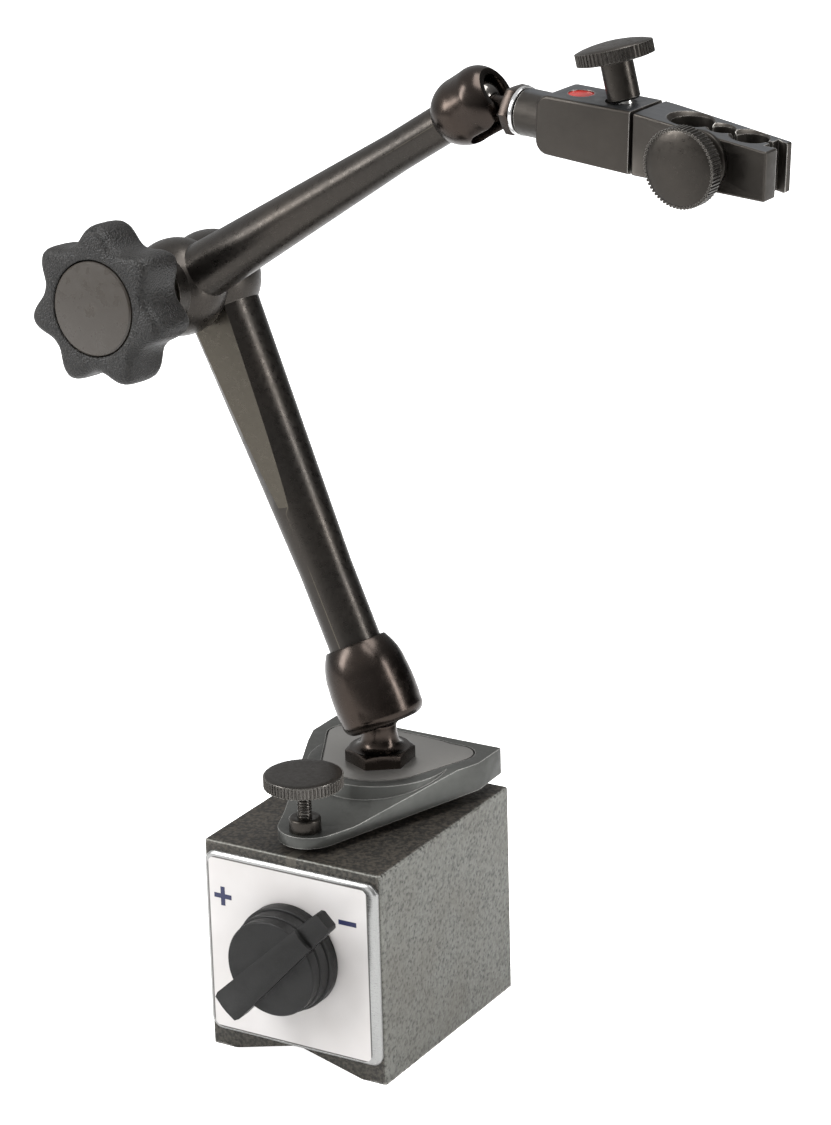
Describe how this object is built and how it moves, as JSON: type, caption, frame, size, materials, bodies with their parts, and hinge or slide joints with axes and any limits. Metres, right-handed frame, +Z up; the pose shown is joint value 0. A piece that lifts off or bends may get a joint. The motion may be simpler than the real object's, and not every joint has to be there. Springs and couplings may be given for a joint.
{
  "type": "articulated magnetic measuring stand",
  "caption": "Articulated indicator holder: switchable magnetic base, rocking fine-adjust plate, two-part arm with one clamp knob and ball joints, split stem clamp.",
  "frame": {"origin": "centre of the magnetic working face, in the plane of its two feet", "axes": "+Z up out of the block, +X to the right seen from the switch side, +Y away from the switch"},
  "size_m": [0.1866, 0.0766, 0.2526],
  "materials": {
    "hammertone": "hammertone stoved paint, working face ground bright",
    "brass_strip": "painted over, bare on the working face",
    "steel_bright": "machined",
    "plate_frame": "satin anodised",
    "label_print": "off-white printed film",
    "magnet": "sintered",
    "switch_black": "moulded, fine texture",
    "plate_gunmetal": "satin black oxide",
    "insert_grey": "satin",
    "blued_steel": "black oxide, worn edges",
    "gloss_oxide": "polished, black oxide",
    "arm_oxide": "black oxide, satin",
    "spring": "spring steel",
    "knob_plastic": "moulded, grained",
    "cap_grey": "smooth moulded",
    "brass_insert": "machined",
    "chromed": "bright",
    "red_lacquer": "sealing lacquer"
  },
  "bodies": {
    "base": {"pole_block_left": "hammertone", "pole_block_right": "hammertone", "pole_separators": "brass_strip", "rear_plug": "hammertone", "switch_stop_pin": "steel_bright", "front_plate": "plate_frame", "front_label": "label_print", "front_plate_screws": "steel_bright", "pivot_saddle": "blued_steel", "saddle_screws": "steel_bright"},
    "rotor": {"bar_magnet": "magnet", "rotor_pole_segments": "steel_bright", "switch_spindle": "steel_bright", "switch_knob": "switch_black"},
    "plate": {"rocker_plate": "plate_gunmetal", "plate_insert": "insert_grey", "plate_pivot_pin": "steel_bright", "thumbscrew_bush": "blued_steel", "lower_ball_stud": "gloss_oxide", "plate_return_springs": "spring"},
    "base_feed": {"base_screw_shank": "steel_bright"},
    "base_thumb": {"base_screw_head": "blued_steel"},
    "ball_low": {"lower_ball": "chromed"},
    "arm_low": {"lower_socket": "gloss_oxide", "lower_thrust_cup": "steel_bright", "lower_arm": "arm_oxide", "lower_push_rod": "steel_bright", "clamp_stud": "steel_bright"},
    "washer": {"clamp_washer": "blued_steel"},
    "knob": {"clamp_knob": "knob_plastic", "knob_insert": "brass_insert", "knob_cap": "cap_grey"},
    "arm_up": {"upper_arm": "arm_oxide", "upper_socket": "gloss_oxide", "upper_thrust_cup": "steel_bright", "upper_push_rod": "steel_bright"},
    "ball_up": {"upper_ball": "chromed"},
    "head": {"upper_ball_stud": "gloss_oxide", "head_washer": "chromed", "adjust_block": "blued_steel", "head_pivot_pin": "steel_bright", "lock_set_screw": "steel_bright", "red_seal": "red_lacquer", "return_leaf_spring": "spring"},
    "clamp": {"clamp_body": "blued_steel", "side_screw_spacer": "blued_steel"},
    "head_feed": {"head_screw_shank": "steel_bright"},
    "head_thumb": {"head_screw_post": "blued_steel"},
    "side_feed": {"side_screw_shank": "steel_bright"},
    "side_thumb": {"side_screw_head": "blued_steel"}
  },
  "joints": [
    {"name": "magnet_switch", "type": "hinge", "parent": "base", "child": "rotor", "pos_m": [0, -0.031, 0.03], "axis": [0, -1, 0], "range_deg": [0, 90]},
    {"name": "plate_tilt", "type": "hinge", "parent": "base", "child": "plate", "pos_m": [0, 0.02, 0.0606], "axis": [-1, 0, 0], "range_deg": [-0.8, 2.5], "deforming": ["plate_return_springs"]},
    {"name": "base_screw_feed", "type": "slide", "parent": "plate", "child": "base_feed", "axis": [0, 0, 1], "range_m": [-0.00194, 0.00064]},
    {"name": "base_screw_spin", "type": "hinge", "parent": "base_feed", "child": "base_thumb", "pos_m": [0, -0.0241, 0.0726], "axis": [0, 0, 1], "range_deg": [-992.6, 319.7]},
    {"name": "lower_swivel", "type": "hinge", "parent": "plate", "child": "ball_low", "pos_m": [0, 0.0111, 0.0798], "axis": [0, 0, 1], "continuous": true},
    {"name": "lower_tilt", "type": "hinge", "parent": "ball_low", "child": "arm_low", "pos_m": [0, 0.0111, 0.0798], "axis": [-0.1858, -0.9826, 0], "range_deg": [-32, 42]},
    {"name": "elbow", "type": "hinge", "parent": "arm_low", "child": "arm_up", "pos_m": [-0.05045, 0.01347, 0.18091], "axis": [-0.0348, -0.9964, 0.0767], "range_deg": [-55, 150]},
    {"name": "knob_washer_feed", "type": "slide", "parent": "arm_low", "child": "washer", "axis": [-0.0348, -0.9964, 0.0767], "range_m": [-0.00001, 0.00064]},
    {"name": "knob_spin", "type": "hinge", "parent": "washer", "child": "knob", "pos_m": [-0.0515, -0.01642, 0.18321], "axis": [-0.0348, -0.9964, 0.0767], "range_deg": [0, 180]},
    {"name": "upper_tilt", "type": "hinge", "parent": "arm_up", "child": "ball_up", "pos_m": [0.03445, 0.00744, 0.23425], "axis": [0.0989, 0.9787, -0.1797], "range_deg": [-36, 25]},
    {"name": "upper_swivel", "type": "hinge", "parent": "ball_up", "child": "head", "pos_m": [0.03445, 0.00744, 0.23425], "axis": [0.9912, -0.1129, -0.0698], "continuous": true},
    {"name": "clamp_tilt", "type": "hinge", "parent": "head", "child": "clamp", "pos_m": [0.0656, 0.00393, 0.23086], "axis": [0.1155, 0.9927, 0.0348], "range_deg": [-2, 2], "deforming": ["return_leaf_spring"]},
    {"name": "head_screw_feed", "type": "slide", "parent": "head", "child": "head_feed", "axis": [-0.2189, -0.0087, 0.9757], "range_m": [-0.000362, 0.000362]},
    {"name": "head_screw_spin", "type": "hinge", "parent": "head_feed", "child": "head_thumb", "pos_m": [0.07539, 0.00272, 0.23297], "axis": [-0.2189, -0.0087, 0.9757], "range_deg": [-256.7, 256.7]},
    {"name": "side_screw_feed", "type": "slide", "parent": "clamp", "child": "side_feed", "axis": [-0.1155, -0.9927, -0.0348], "range_m": [-0.00001, 0.00071]},
    {"name": "side_screw_spin", "type": "hinge", "parent": "side_feed", "child": "side_thumb", "pos_m": [0.09799, 0.0002, 0.22978], "axis": [-0.1155, -0.9927, -0.0348], "range_deg": [0, 360]}
  ],
  "couplings": [
    {"joint": "base_screw_feed", "follows": "plate_tilt", "m_per_rad": -0.0441},
    {"joint": "base_screw_spin", "follows": "plate_tilt", "ratio": -395.84},
    {"joint": "knob_washer_feed", "follows": "knob_spin", "m_per_rad": 0.00019894},
    {"joint": "head_screw_feed", "follows": "clamp_tilt", "m_per_rad": -0.010096},
    {"joint": "head_screw_spin", "follows": "clamp_tilt", "ratio": -126.87},
    {"joint": "side_screw_feed", "follows": "side_screw_spin", "m_per_rad": 0.00011141}
  ]
}
